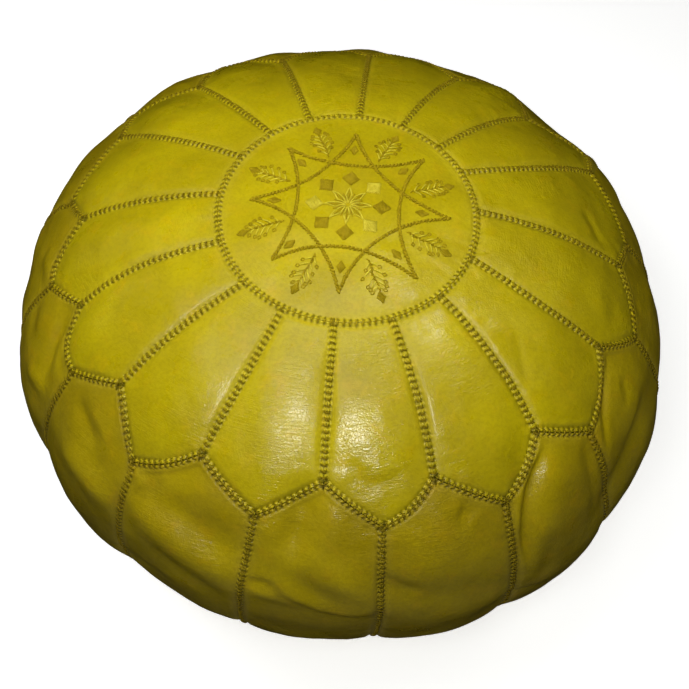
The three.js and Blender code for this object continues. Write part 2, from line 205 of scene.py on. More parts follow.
def profile(polar):
    """Radius, height above the widest level and the outward normal's two parts."""
    upper = polar <= np.pi / 2
    rise = np.where(upper, CROWN_RISE, FOOT_DROP)
    power = np.where(upper, CROWN_SQUARENESS, FOOT_SQUARENESS)
    across = np.sin(polar) / WIDEST_RADIUS
    up = np.abs(np.cos(polar)) / rise
    reach = (across**power + up**power) ** (-1 / power)
    slope_out = (reach * across) ** (power - 1) / WIDEST_RADIUS
    slope_up = (reach * up) ** (power - 1) / rise * np.where(upper, 1, -1)
    length = np.hypot(slope_out, slope_up)
    return reach * np.sin(polar), reach * np.cos(polar), slope_out / length, slope_up / length


PROFILE = profile(np.linspace(0, np.pi, 4001))
ARCS = np.concatenate([[0], np.cumsum(np.hypot(np.diff(PROFILE[0]), np.diff(PROFILE[1])))])
WIDEST_STEP = len(ARCS) // 2
FOOT_SEAM_ARC = float(
    np.interp(-BASE_PANEL_RADIUS, -PROFILE[0][WIDEST_STEP:], ARCS[WIDEST_STEP:])
)
FLAT_RADIUS = WIDEST_RADIUS * (1 - (FLOOR_DROP / FOOT_DROP) ** FOOT_SQUARENESS) ** (
    1 / FOOT_SQUARENESS
)


def at_arc(arc):
    return [np.interp(arc, ARCS, part) for part in PROFILE]


def degrees_of(length, arc):
    return np.degrees(length / at_arc(arc)[0])


def placed(crease):
    """A crease with its middle, length and turn worked out from its two ends."""
    arc = (crease["from_arc"] + crease["to_arc"]) / 2
    across = math.radians(crease["to_azimuth"] - crease["from_azimuth"]) * float(at_arc(arc)[0])
    down = crease["to_arc"] - crease["from_arc"]
    middle = {"azimuth": (crease["from_azimuth"] + crease["to_azimuth"]) / 2, "arc": arc}
    line = {"length": math.hypot(across, down), "turn": math.degrees(math.atan2(across, down))}
    return crease | middle | line


CREASES = [placed(crease) for crease in rows_of(CREASE_COLUMNS, CREASE_ROWS)]


def fold_depth(azimuth, arc, radius):
    depth = np.zeros(np.broadcast(azimuth, arc).shape)
    for fold in FOLDS:
        along, beside = from_line(fold, azimuth, arc, radius)
        depth += fold["depth"] * np.exp(
            -((2 * along / fold["length"]) ** 2) - (2 * beside / fold["width"]) ** 2
        )
    for crease in CREASES:
        along, beside = from_line(crease, azimuth, arc, radius)
        reach = 2 * along / crease["length"]
        beside = beside - crease["bow"] * (1 - reach**2)
        width = np.where(beside > 0, crease["left"], crease["right"])
        depth += crease["depth"] * np.exp(-(reach**4) - (beside / width) ** 2)
    return depth


def from_line(row, azimuth, arc, radius):
    away = (azimuth - row["azimuth"] + FULL_TURN / 2) % FULL_TURN - FULL_TURN / 2
    across = np.radians(away) * radius
    down = arc - row["arc"]
    turn = math.radians(row["turn"])
    along = down * math.cos(turn) + across * math.sin(turn)
    beside = across * math.cos(turn) - down * math.sin(turn)
    return along, beside


def cover(arc, azimuth, height):
    """Points at a height above the level of the seams, in millimetres."""
    arc, azimuth, height = np.broadcast_arrays(arc, azimuth, height)
    radius, level, normal_out, normal_up = at_arc(arc)
    angle = np.radians(azimuth)
    swell = OVAL_SWELL * np.cos(2 * np.radians(azimuth - OVAL_AZIMUTH))
    lift = height - fold_depth(azimuth, arc, radius)
    out = radius + swell * (radius / WIDEST_RADIUS) ** 2 + lift * normal_out
    up = FLOOR_DROP + level + lift * normal_up
    return np.stack([out * np.sin(angle), -out * np.cos(angle), up], axis=-1)


class Noise:
    """Smooth noise in space, about -1 to 1, the same on every run."""

    SIZE = 256

    def __init__(self, seed):
        random = np.random.default_rng(seed)
        self.order = random.permutation(self.SIZE)
        slopes = random.normal(size=(self.SIZE, 3))
        self.slopes = slopes / np.linalg.norm(slopes, axis=1, keepdims=True)

    def __call__(self, points, size):
        place = points / size
        cell = np.floor(place).astype(int)
        inside = place - cell
        weight = inside**3 * (inside * (inside * 6 - 15) + 10)
        total = np.zeros(points.shape[:-1])
        for corner in np.ndindex(2, 2, 2):
            key = (cell + corner) % self.SIZE
            pick = self.order[key[..., 0]]
            pick = self.order[(pick + key[..., 1]) % self.SIZE]
            pick = self.order[(pick + key[..., 2]) % self.SIZE]
            slope = (self.slopes[pick] * (inside - corner)).sum(-1)
            total += slope * np.where(corner, weight, 1 - weight).prod(-1)
        return total * 1.6


# The seams.


def row(number):
    return PIECE[number % PIECES]


def medallion_arc(azimuth):
    return MEDALLION_RADIUS + MEDALLION_SHIFT * np.cos(np.radians(azimuth))


def spoke_in(number):
    azimuth = number * PIECE_ANGLE + SEAM_TURN + row(number)["spoke_in"]
    return medallion_arc(azimuth), azimuth


def valley(number):
    return row(number)["valley_arc"], number * PIECE_ANGLE + SEAM_TURN + row(number)["spoke_out"]


def tip(number):
    azimuth = (number + 0.5) * PIECE_ANGLE + SEAM_TURN + row(number)["tip_turn"]
    return row(number)["tip_arc"], azimuth


def side_foot(number):
    azimuth = (number + 0.5) * PIECE_ANGLE + SEAM_TURN + row(number)["foot_turn"]
    return FOOT_SEAM_ARC, azimuth


def line_between(start, end, share, arc_bow=0.0):
    arc = lerp(start[0], end[0], share) + arc_bow * np.sin(np.pi * share)
    return arc, lerp(start[1], end[1], share)


def first_leg(number, share):
    return line_between(valley(number), tip(number), share, row(number)["first_leg_bow"])


def last_leg(number, share):
    return line_between(tip(number), valley(number + 1), share, row(number)["last_leg_bow"])


def spoke(number, share):
    arc, azimuth = line_between(spoke_in(number), valley(number), share)
    return arc, azimuth + degrees_of(row(number)["spoke_bow"] * np.sin(np.pi * share), arc)


def side_seam(number, share):
    arc, azimuth = line_between(tip(number), side_foot(number), share)
    sway = row(number)["side_bow"] * np.sin(np.pi * np.sqrt(share))
    return arc, azimuth + degrees_of(sway, arc)


RING_START = spoke_in(0)[1]
FOOT_START = side_foot(-1)[1]


def medallion_ring(share):
    azimuth = RING_START + share * FULL_TURN
    return medallion_arc(azimuth), azimuth


def base_ring(share):
    return np.full(np.shape(share), FOOT_SEAM_ARC), FOOT_START + share * FULL_TURN


STITCH_PITCH = 4.2
SEAM_SAMPLES = 601


class Seam:
    """A line of sewing: its places, and how many stitches come before each."""

    def __init__(self, name, line):
        self.name = name
        self.line = line
        self.share = np.linspace(0, 1, SEAM_SAMPLES)
        points = cover(*line(self.share), 0.0)
        steps = np.linalg.norm(np.diff(points, axis=0), axis=1)
        length = np.concatenate([[0], np.cumsum(steps)])
        self.length = length[-1]
        self.count = round(self.length / STITCH_PITCH)
        self.run = length / self.length * self.count

    def run_at(self, share):
        return np.interp(share, self.share, self.run)

    def share_at(self, run):
        return np.interp(run, self.run, self.share)


SPOKES = [Seam("spokes", lambda t, n=n: spoke(n, t)) for n in range(PIECES)]
FIRST_LEGS = [Seam("zigzag", lambda t, n=n: first_leg(n, t)) for n in range(PIECES)]
LAST_LEGS = [Seam("zigzag", lambda t, n=n: last_leg(n, t)) for n in range(PIECES)]
SIDE_SEAMS = [Seam("sides", lambda t, n=n: side_seam(n, t)) for n in range(PIECES)]
MEDALLION_RING = Seam("medallion", medallion_ring)
BASE_RING = Seam("base", base_ring)

# The leather pieces.

UNEVEN = Noise(11)
SWELLS = Noise(12)
PUCKERS = Noise(13)
PUCKER_PLACES = Noise(14)

CHANNEL_INNER = 0.8
CHANNEL_OUTER = 6.5
LIP_HEIGHT = 1.2
LIP_PLACE = 2.9
LIP_WIDTH = 2.2
RING_LIP = 0.35
PRESSED_SHARE = 0.65
PRESSED_FROM = 335.0
PRESSED_TO = 420.0
EDGE_SHARE = 0.0016
BACK_STRIDE = 4


def spaced(count, bias):
    """Steps from 0 to 1, closer together at both ends."""
    even = np.linspace(0, 1, count + 1)
    steps = lerp(even, (1 - np.cos(np.pi * even)) / 2, bias)
    return EDGE_SHARE + (1 - 2 * EDGE_SHARE) * steps


def swelling(across, along, fullness):
    return (4 * across * (1 - across)) ** fullness * (4 * along * (1 - along)) ** FULLNESS_ALONG


def seam_relief(distance):
    """The turned edges at a seam: one low ridge with a faint line in it, then a channel."""
    line = -0.3 * np.exp(-((distance / 0.35) ** 2))
    ridge = 0.95 * np.exp(-((distance / 1.65) ** 4))
    channel = -0.35 * np.exp(-(((distance - 2.7) / 0.9) ** 2))
    return line + ridge + channel


def pressed(arc):
    """How much of a seam's height is left: the pouf's weight presses it flat towards the foot."""
    return 1 - PRESSED_SHARE * smooth(PRESSED_FROM, PRESSED_TO, arc)


def lip(distance):
    """The fuller edge that a piece shows beside the seam that it overlaps."""
    return LIP_HEIGHT * np.exp(-(((distance - LIP_PLACE) / LIP_WIDTH) ** 2))


def unevenness(level):
    """The slow rise and fall of leather over its stuffing, at three scales."""
    return 1.2 * UNEVEN(level, 52.0) + 0.6 * SWELLS(level, 25.0) + 0.22 * SWELLS(level, 11.0)


def relief(level, arc, distance, edge_points, swell):
    """The height of the leather's face above the level of the seams."""
    clear = smooth(CHANNEL_INNER, CHANNEL_OUTER, distance)
    uneven = unevenness(level)
    envelope = (distance / 4.5) * np.exp(1 - distance / 4.5)
    strength = 0.35 + 0.45 * PUCKER_PLACES(edge_points, 45.0)
    pucker = envelope * strength * PUCKERS(edge_points, 7.0)
    return swell * clear + uneven * clear + pucker + seam_relief(distance) * pressed(arc)


def edge_of(grid):
    """The grid's boundary as one closed run: along the first row, down, back and up."""
    return np.concatenate([grid[0], grid[1:, -1], grid[-1, -2::-1], grid[-2:0:-1, 0]])


def nearest(points, edge):
    """How far each point is from the boundary, and which boundary point is nearest."""
    flat = points.reshape(-1, 3)
    square = (flat**2).sum(1)[:, None] + (edge**2).sum(1)[None] - 2 * flat @ edge.T
    pick = square.argmin(1)
    distance = np.linalg.norm(flat - edge[pick], axis=1)
    return distance.reshape(points.shape[:-1]), pick.reshape(points.shape[:-1])


def leather_piece(name, arc, azimuth, swell, runs, lipped, node, slot):
    """A closed sheet of leather: a fine face with its relief, and a coarse back."""
    level = cover(arc, azimuth, 0.0)
    edge = edge_of(level)
    distance, pick = nearest(level, edge)
    height = relief(level, arc, distance, edge[pick], swell) + lipped[pick] * lip(distance)
    face = cover(arc, azimuth, height)
    s = BACK_STRIDE
    back = cover(arc[::s, ::s], azimuth[::s, ::s], height[::s, ::s] - LEATHER)
    points, faces = shell(face, back)
    mesh = bpy.data.meshes.new(name)
    mesh.from_pydata(points * MM, [], faces)
    skin = np.stack([np.radians(azimuth) * at_arc(arc)[0], arc, 0 * arc], axis=-1)
    sewn = np.stack([distance, runs[pick], 0 * distance], axis=-1)
    for key, values in (("skin", skin), ("sewn", sewn)):
        whole = np.zeros((len(points), 3))
        whole[: face.shape[0] * face.shape[1]] = values.reshape(-1, 3)
        whole[face.shape[0] * face.shape[1] :] = values[::s, ::s].reshape(-1, 3)
        mesh.attributes.new(key, "FLOAT_VECTOR", "POINT").data.foreach_set("vector", whole.ravel())
    finish_mesh(mesh)
    piece = add_object(name, mesh, LEATHERS[slot])
    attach(piece, "root")
    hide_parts(node)
    return piece


def shell(face, back):
    """Points and faces of a closed sheet from a face grid and a back grid with fewer lines."""
    rows, columns = face.shape[:2]
    places = np.arange(rows * columns).reshape(rows, columns)
    back_places = np.arange(back.shape[0] * back.shape[1]).reshape(back.shape[:2]) + places.size
    faces = quads_of(places, False) + quads_of(back_places, True)
    rim, back_rim = edge_of(places), edge_of(back_places)
    for index, corner in enumerate(back_rim):
        after = back_rim[(index + 1) % len(back_rim)]
        first = index * BACK_STRIDE
        fine = [int(rim[(first + step) % len(rim)]) for step in range(BACK_STRIDE + 1)]
        half = BACK_STRIDE // 2
        faces += [(int(corner), fine[step + 1], fine[step]) for step in range(half)]
        faces.append((int(corner), int(after), fine[half]))
        faces += [(int(after), fine[step + 1], fine[step]) for step in range(half, BACK_STRIDE)]
    points = np.concatenate([face.reshape(-1, 3), back.reshape(-1, 3)])
    return points, faces


def quads_of(places, turned):
    a, b = places[:-1, :-1].ravel(), places[1:, :-1].ravel()
    c, d = places[1:, 1:].ravel(), places[:-1, 1:].ravel()
    corners = (a, d, c, b) if turned else (a, b, c, d)
    return np.stack(corners, axis=1).tolist()


def finish_mesh(mesh):
    mesh.update(calc_edges=True)
    mesh.shade_smooth()
    mesh.set_sharp_from_angle(angle=math.radians(70))


def add_object(name, mesh, material):
    made = bpy.data.objects.new(name, mesh)
    made.data.materials.append(material)
    bpy.context.scene.collection.objects.link(made)
    return made


PETAL_COLUMNS = 64
PETAL_LINES = 96
SIDE_COLUMNS = 72
SIDE_LINES = 144
MEDALLION_LINES = 160
EDGE_BIAS = 0.55


def flat_size(arc, azimuth):
    """A piece's flat width and length, and its area, from the seams' level."""
    level = cover(arc, azimuth, 0.0)
    across = np.linalg.norm(np.diff(level, axis=1), axis=2).sum(1).max()
    along = np.linalg.norm(np.diff(level, axis=0), axis=2).sum(0).max()
    a, b = level[1:, 1:] - level[:-1, :-1], level[1:, :-1] - level[:-1, 1:]
    area = np.linalg.norm(np.cross(a, b), axis=2).sum() / 2
    return (across * MM, along * MM), area * MM * MM


def petal(number):
    across = spaced(PETAL_COLUMNS, EDGE_BIAS)[None, :]
    along = spaced(PETAL_LINES, EDGE_BIAS)[:, None]
    inner_azimuth = lerp(spoke_in(number)[1], spoke_in(number + 1)[1], across)
    inner_arc = medallion_arc(inner_azimuth)
    first = first_leg(number, 2 * across)
    last = last_leg(number, 2 * across - 1)
    outer_arc = np.where(across < 0.5, first[0], last[0])
    outer_azimuth = np.where(across < 0.5, first[1], last[1])
    arc = lerp(inner_arc, outer_arc, along)
    azimuth = lerp(inner_azimuth, outer_azimuth, along)
    bows = lerp(row(number)["spoke_bow"], row(number + 1)["spoke_bow"], across)
    azimuth = azimuth + degrees_of(bows * np.sin(np.pi * along), arc)
    crown = row(number)["petal_crown"] * lerp(PETAL_INNER_FULLNESS, 1, along)
    runs = np.zeros(arc.shape)
    runs[:, 0] = SPOKES[number].run_at(along[:, 0])
    runs[:, -1] = SPOKES[(number + 1) % PIECES].run_at(along[:, 0])
    runs[0] = MEDALLION_RING.run_at((inner_azimuth[0] - RING_START) / FULL_TURN)
    half = PETAL_COLUMNS // 2
    runs[-1, : half + 1] = FIRST_LEGS[number].run_at(2 * across[0, : half + 1])
    runs[-1, half + 1 :] = LAST_LEGS[number].run_at(2 * across[0, half + 1 :] - 1)
    label = f"{number + 1:02d}"
    size, area = flat_size(arc, azimuth)
    leather_piece(
        f"petal_leather_{label}", arc, azimuth, crown * swelling(across, along, PETAL_FULLNESS),
        edge_of(runs), edge_of(0 * arc), f"petal_{label}", "petal_leather",
    )


def side_panel(number):
    across = spaced(SIDE_COLUMNS, EDGE_BIAS)[None, :]
    along = spaced(SIDE_LINES, EDGE_BIAS)[:, None]
    last = last_leg(number - 1, 2 * across)
    first = first_leg(number, 2 * across - 1)
    inner_arc = np.where(across < 0.5, last[0], first[0])
    inner_azimuth = np.where(across < 0.5, last[1], first[1])
    outer_azimuth = lerp(side_foot(number - 1)[1], side_foot(number)[1], across)
    arc = lerp(inner_arc, FOOT_SEAM_ARC, along)
    azimuth = lerp(inner_azimuth, outer_azimuth, along)
    bows = lerp(row(number - 1)["side_bow"], row(number)["side_bow"], across)
    azimuth = azimuth + degrees_of(bows * np.sin(np.pi * np.sqrt(along)), arc)
    runs = np.zeros(arc.shape)
    runs[:, 0] = SIDE_SEAMS[number - 1].run_at(along[:, 0])
    runs[:, -1] = SIDE_SEAMS[number].run_at(along[:, 0])
    half = SIDE_COLUMNS // 2
    runs[0, : half + 1] = LAST_LEGS[number - 1].run_at(2 * across[0, : half + 1])
    runs[0, half + 1 :] = FIRST_LEGS[number].run_at(2 * across[0, half + 1 :] - 1)
    runs[-1] = BASE_RING.run_at((outer_azimuth[0] - FOOT_START) / FULL_TURN)
    lipped = np.zeros(arc.shape)
    lipped[0] = np.sqrt(np.sin(np.pi * across[0]))
    crown = SIDE_CROWN_SHARE * row(number)["side_crown"]
    label = f"{number + 1:02d}"
    size, area = flat_size(arc, azimuth)
    leather_piece(
        f"side_leather_{label}", arc, azimuth, crown * swelling(across, along, SIDE_FULLNESS),
        edge_of(runs), edge_of(lipped), f"side_panel_{label}", "side_leather",
    )


def medallion_height(share):
    return MEDALLION_CROWN * np.clip(1 - share**2, 0, 1) ** PETAL_FULLNESS


def medallion(sewn_on):
    """The round piece, as a square grid drawn out to a disc."""
    even = np.linspace(-1, 1, MEDALLION_LINES + 1)
    x, y = np.meshgrid(even, even)
    size = np.maximum(np.abs(x), np.abs(y))
    wide = np.abs(x) >= np.abs(y)
    with np.errstate(divide="ignore", invalid="ignore"):
        turn = np.where(wide, y / x, x / y) * np.pi / 4
    turn = np.nan_to_num(turn)
    aside = np.where(x >= 0, turn, np.pi + turn)
    endways = np.where(y >= 0, np.pi / 2 - turn, -np.pi / 2 - turn)
    direction = np.where(wide, aside, endways)
    share = (1 - (1 - size) ** 1.15) * (1 - EDGE_SHARE)
    azimuth = np.degrees(direction)
    arc = share * medallion_arc(azimuth)
    runs = MEDALLION_RING.run_at(((azimuth - RING_START) / FULL_TURN) % 1.0)
    leather_piece(
        "medallion_leather", arc, azimuth, medallion_height(share), edge_of(runs),
        edge_of(np.full(arc.shape, RING_LIP)), "medallion", "medallion_leather",
    )


# The stuffed body and base panel.

BODY_DEPTH = 4.5
BODY_SIDES = 192
BODY_RINGS = 60
BODY_TOP_ARC = 6.0
BASE_SEAM_GAP = 0.6
BASE_EDGE = [(0.0, -1.4), (0.6, -0.2), (1.6, 0.6), (2.8, 0.2), (4.5, -0.3), (7.0, 0.0)]
FLAT_SHARES = [0.985, 0.95, 0.9, 0.7, 0.5, 0.3, 0.12]
FAR_FROM_SEWING = 30.0


def stuffed_body():
    """The stuffing in its round base panel: a closed body that the leather lies on."""
    azimuth = np.arange(BODY_SIDES) * FULL_TURN / BODY_SIDES
    edge = FOOT_SEAM_ARC - BASE_SEAM_GAP
    arcs = np.linspace(BODY_TOP_ARC, edge, BODY_RINGS)
    rings = [cover(arc, azimuth, -BODY_DEPTH) for arc in arcs]
    rings += [cover(edge + offset, azimuth, height) for offset, height in BASE_EDGE]
    angle = np.radians(azimuth)
    outer = np.stack([np.sin(angle), -np.cos(angle), 0 * angle], axis=1)
    rings += [outer * FLAT_RADIUS * share for share in FLAT_SHARES]
    top = cover(0.0, 0.0, -BODY_DEPTH)
    points = np.concatenate([[top], *rings, [[0.0, 0.0, 0.0]]])
    points[:, 2] = np.maximum(points[:, 2], 0.0)
    faces = []
    count = len(rings)
    here = np.arange(BODY_SIDES)
    after = (here + 1) % BODY_SIDES
    faces += [(0, 1 + int(a), 1 + int(b)) for a, b in zip(here, after)]
    for ring in range(count - 1):
        low, high = 1 + ring * BODY_SIDES, 1 + (ring + 1) * BODY_SIDES
        faces += np.stack([low + here, high + here, high + after, low + after], axis=1).tolist()
    last, end = 1 + (count - 1) * BODY_SIDES, 1 + count * BODY_SIDES
    faces += [(end, last + int(b), last + int(a)) for a, b in zip(here, after)]
    mesh = bpy.data.meshes.new("stuffed_body")
    mesh.from_pydata(points * MM, [], faces)
    for key, values in (("skin", points), ("sewn", np.full(points.shape, FAR_FROM_SEWING))):
        mesh.attributes.new(key, "FLOAT_VECTOR", "POINT").data.foreach_set("vector", values.ravel())
    finish_mesh(mesh)
    piece = add_object("stuffed_body", mesh, LEATHERS["base_leather"])
    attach(piece, "root")
    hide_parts("stuffed_base")


# Thread.

TUBE_SIDES = 6


def tubes(name, paths, radii, side_hints, material):
    """Closed tubes along many short paths: paths (n, k, 3), radii (n, k), a hint across each."""
    ahead = np.gradient(paths, axis=1)
    ahead /= np.linalg.norm(ahead, axis=2, keepdims=True)
    hint = np.broadcast_to(side_hints[:, None, :], paths.shape)
    side = hint - (hint * ahead).sum(2, keepdims=True) * ahead
    side /= np.linalg.norm(side, axis=2, keepdims=True)
    other = np.cross(ahead, side)
    count, steps = paths.shape[:2]
    turn = np.arange(TUBE_SIDES) * 2 * np.pi / TUBE_SIDES
    ring = side[:, :, None] * np.cos(turn)[:, None] + other[:, :, None] * np.sin(turn)[:, None]
    points = paths[:, :, None] + ring * radii[:, :, None, None]
    place = np.arange(count * steps * TUBE_SIDES).reshape(count, steps, TUBE_SIDES)
    around = np.roll(place, -1, axis=2)
    walls = np.stack(
        [place[:, :-1], around[:, :-1], around[:, 1:], place[:, 1:]], axis=-1
    ).reshape(-1, 4)
    caps = np.concatenate([place[:, 0, ::-1], place[:, -1]])
    mesh = bpy.data.meshes.new(name)
    mesh.from_pydata(points.reshape(-1, 3) * MM, [], walls.tolist() + caps.tolist())
    mesh.update(calc_edges=True)
    mesh.shade_smooth()
    piece = add_object(name, mesh, material)
    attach(piece, "root")
    return piece


# A stitch over a seam: offsets across the seam, heights above its level, and its own fullness.
STITCH_ACROSS = np.array([-1.45, -1.25, -0.8, 0.0, 0.8, 1.25, 1.45])
STITCH_HEIGHT = np.array([-0.6, 0.6, 1.1, 1.15, 1.1, 0.6, -0.6])
STITCH_SWELL = np.array([0.7, 0.95, 1.0, 1.05, 1.0, 0.95, 0.7])
STITCH_RADIUS = 0.6
STITCH_SLANT = 0.28
SMALL_SHARE = 1e-3
RING_STITCH = 0.8
JUNCTION_CLEAR = 0.35


def stitches_on(seam, random, closed, size=1.0):
    runs = np.arange(seam.count) + 0.5
    if not closed:
        runs = runs[(runs > JUNCTION_CLEAR) & (runs < seam.count - JUNCTION_CLEAR)]
    runs = runs + random.uniform(-0.07, 0.07, len(runs))
    share = seam.share_at(runs)
    arc, azimuth = seam.line(share)
    before = seam.line(np.clip(share - SMALL_SHARE, 0, 1))
    after = seam.line(np.clip(share + SMALL_SHARE, 0, 1))
    radius = at_arc(arc)[0]
    down = after[0] - before[0]
    across = np.radians(after[1] - before[1]) * radius
    length = np.hypot(down, across)
    down, across = down / length, across / length
    lean = random.normal(0, 0.25, len(runs))[:, None]
    width = size * STITCH_ACROSS[None] * (1 + random.normal(0, 0.05, len(runs)))[:, None]
    slip = width * STITCH_SLANT + lean * width / 3
    move_down = down[:, None] * slip - across[:, None] * width
    move_across = across[:, None] * slip + down[:, None] * width
    arcs = arc[:, None] + move_down
    azimuths = azimuth[:, None] + degrees_of(move_across, arcs)
    height = STITCH_HEIGHT[None] * pressed(arcs) + random.normal(0, 0.06, len(runs))[:, None]
    paths = cover(arcs, azimuths, height)
    hints = cover(*after, 0.0) - cover(*before, 0.0)
    hints /= np.linalg.norm(hints, axis=1, keepdims=True)
    fuller = (1 + random.normal(0, 0.05, len(runs)))[:, None]
    radii = size * STITCH_RADIUS * STITCH_SWELL[None] * fuller
    return paths, radii, hints


def seam_stitches():
    random = np.random.default_rng(21)
    groups = {
        "seam_thread_medallion": [MEDALLION_RING],
        "seam_thread_spokes": SPOKES,
        "seam_thread_zigzag": FIRST_LEGS + LAST_LEGS,
        "seam_thread_sides": SIDE_SEAMS,
        "seam_thread_base": [BASE_RING],
    }
    for name, seams in groups.items():
        size = RING_STITCH if seams == [MEDALLION_RING] else 1.0
        made = [stitches_on(s, random, s in (MEDALLION_RING, BASE_RING), size) for s in seams]
        paths, radii, hints = (np.concatenate(part) for part in zip(*made))
        tubes(name, paths, radii, hints, RING_THREAD if name == "seam_thread_medallion" else THREAD)


# The medallion's embroidery.

STAR_POINTS = 8
STAR_ANGLE = FULL_TURN / STAR_POINTS
STAR_TURN = -3.0
STAR_REACH = 71.0
STAR_WAIST = 35.5
STAR_ROUNDNESS = 2.05
STAR_STITCH = 2.6
STAR_THREAD = 0.8
STAR_LEAN = 0.32
TIP_LOZENGE_PLACE = 51.5
TIP_LOZENGE = (9.5, 6.0)
INNER_LOZENGE_PLACE = 23.5
INNER_LOZENGE = (12.5, 12.5)
LIGHT_LOZENGES = (1, 3, 6)
STEM_FROM = 46.0
STEM_TO = 71.0
LEAVES = [(49.0, 6.0), (54.0, 8.0), (59.0, 8.0), (63.5, 6.5), (67.5, 4.5)]
LOOP_HALF_WIDTH = 1.3
LOOP_LENGTH = 3.2
BUD_PLACE = 75.5
BUD = (8.5, 6.5)
THREAD_SHARES = np.array([0.0, 0.12, 0.5, 0.88, 1.0])
THREAD_LIFT = np.array([-0.6, 0.55, 1.0, 0.55, -0.6])
THREAD_SWELL = np.array([0.7, 1, 1.05, 1, 0.7])


class Embroidery:
    """Straight stitches on the medallion, in millimetres from its centre."""

    def __init__(self):
        self.starts, self.ends, self.radii, self.arches = [], [], [], []

    def stitch(self, start, end, radius, arch=0.25):
        self.starts.append(start)
        self.ends.append(end)
        self.radii.append(radius)
        self.arches.append(arch)

    def line(self, points, length, radius, lean, random):
        """Stitches of about one length along a line, each leaning across it a little."""
        steps = np.linalg.norm(np.diff(points, axis=0), axis=1)
        run = np.concatenate([[0], np.cumsum(steps)])
        count = max(1, round(run[-1] / length))
        marks = np.linspace(0, run[-1], count + 1)
        places = np.stack([np.interp(marks, run, points[:, i]) for i in range(2)], axis=1)
        for start, end in zip(places[:-1], places[1:]):
            ahead = end - start
            beside = np.array([-ahead[1], ahead[0]]) * lean
            jitter = random.normal(0, 0.12, (2, 2))
            first = start + 0.02 * ahead - beside + jitter[0]
            self.stitch(first, end - 0.02 * ahead + beside + jitter[1], radius)

    def diamond(self, centre, direction, size, spacing, radius, random):
        """A diamond filled with threads that lie across its long way."""
        length, width = size
        along = np.array(direction)
        beside = np.array([-along[1], along[0]])
        count = max(3, round(length / spacing))
        for mark in (np.arange(count) + 0.5) / count - 0.5:
            half = width / 2 * (1 - 2 * abs(mark)) + 0.25
            middle = centre + along * mark * length
            left, right = half + random.normal(0, 0.12, 2)
            self.stitch(middle - beside * left, middle + beside * right, radius, 0.35)

    def make(self, name, material):
        starts, ends = np.array(self.starts), np.array(self.ends)
        radii, arches = np.array(self.radii), np.array(self.arches)
        flat = starts[:, None] + (ends - starts)[:, None] * THREAD_SHARES[None, :, None]
        arch = arches[:, None] * np.sin(np.pi * THREAD_SHARES)[None]
        height = radii[:, None] * THREAD_LIFT[None] + arch
        paths = on_medallion(flat, height)
        hints = on_medallion(starts + turned(ends - starts), np.zeros(len(starts)))
        hints = hints - on_medallion(starts, np.zeros(len(starts)))
        hints /= np.linalg.norm(hints, axis=1, keepdims=True)
        return tubes(name, paths, radii[:, None] * THREAD_SWELL[None], hints, material)


def turned(steps):
    return np.stack([-steps[..., 1], steps[..., 0]], axis=-1)


def on_medallion(places, height):
    x, y = places[..., 0], places[..., 1] - MEDALLION_SHIFT
    arc = np.hypot(x, y)
    azimuth = np.degrees(np.arctan2(x, -y))
    share = arc / medallion_arc(azimuth)
    uneven = unevenness(cover(arc, azimuth, 0.0))
    clear = smooth(CHANNEL_INNER, CHANNEL_OUTER, (1 - share) * MEDALLION_RADIUS)
    return cover(arc, azimuth, medallion_height(share) * clear + uneven * clear + height)


def polar(radius, degrees):
    """A place on the medallion, from its centre, at an angle counterclockwise from the front."""
    angle = math.radians(degrees)
    return np.array([radius * math.sin(angle), -radius * math.cos(angle)])


def embroidery():
    """The star with its lozenges, sprigs and rosette, in a dark and a light thread."""
    random = np.random.default_rng(33)
    dark, light = Embroidery(), Embroidery()
    tips = []
    for k in range(STAR_POINTS):
        reach = STAR_REACH + random.uniform(-3, 3)
        tips.append(polar(reach, k * STAR_ANGLE + STAR_TURN + random.uniform(-2, 2)))
    for k in range(STAR_POINTS):
        start, end = tips[k], tips[(k + 2) % STAR_POINTS]
        middle = polar(STAR_WAIST, (k + 1) * STAR_ANGLE + STAR_TURN)
        share = np.linspace(-1, 1, 61)[:, None]
        chord = lerp(start, end, (share + 1) / 2)
        curve = chord + (middle - (start + end) / 2) * (1 - np.abs(share) ** STAR_ROUNDNESS)
        dark.line(curve, STAR_STITCH, STAR_THREAD, STAR_LEAN, random)
    for k in range(STAR_POINTS):
        point = k * STAR_ANGLE + STAR_TURN
        out = polar(1.0, point)
        dark.diamond(polar(TIP_LOZENGE_PLACE, point), out, TIP_LOZENGE, 0.9, 0.45, random)
        shade = light if k in LIGHT_LOZENGES else dark
        shade.diamond(polar(INNER_LOZENGE_PLACE, point), out, INNER_LOZENGE, 0.95, 0.48, random)
        sprig(dark, light, point + STAR_ANGLE / 2, random)
    rosette(light, dark, random)
    return [dark.make("embroidery_dark", DARK_SILK), light.make("embroidery_light", LIGHT_SILK)]


def sprig(dark, light, degrees, random):
    """A sprig between two points of the star: a stem, looped leaves and a bud at its end."""
    radii = np.linspace(STEM_FROM, STEM_TO, 6)
    stem = np.stack([polar(radius, degrees + random.uniform(-0.8, 0.8)) for radius in radii])
    dark.line(stem, STAR_STITCH, 0.55, 0.25, random)
    for radius, length in LEAVES:
        root = polar(radius, degrees)
        for turn in (-1, 1):
            away = polar(1.0, degrees + turn * random.uniform(38, 56))
            end = root + away * length * random.uniform(0.85, 1.1)
            light.stitch(root, end, 0.48, 0.4)
            beside = np.array([-away[1], away[0]]) * LOOP_HALF_WIDTH
            middle = end + away * LOOP_LENGTH / 2
            corners = [end, middle + beside, end + away * LOOP_LENGTH, middle - beside, end]
            for first, last in zip(corners[:-1], corners[1:]):
                dark.stitch(first, last, 0.36, 0.2)
    dark.diamond(polar(BUD_PLACE, degrees), polar(1.0, degrees), BUD, 0.9, 0.45, random)


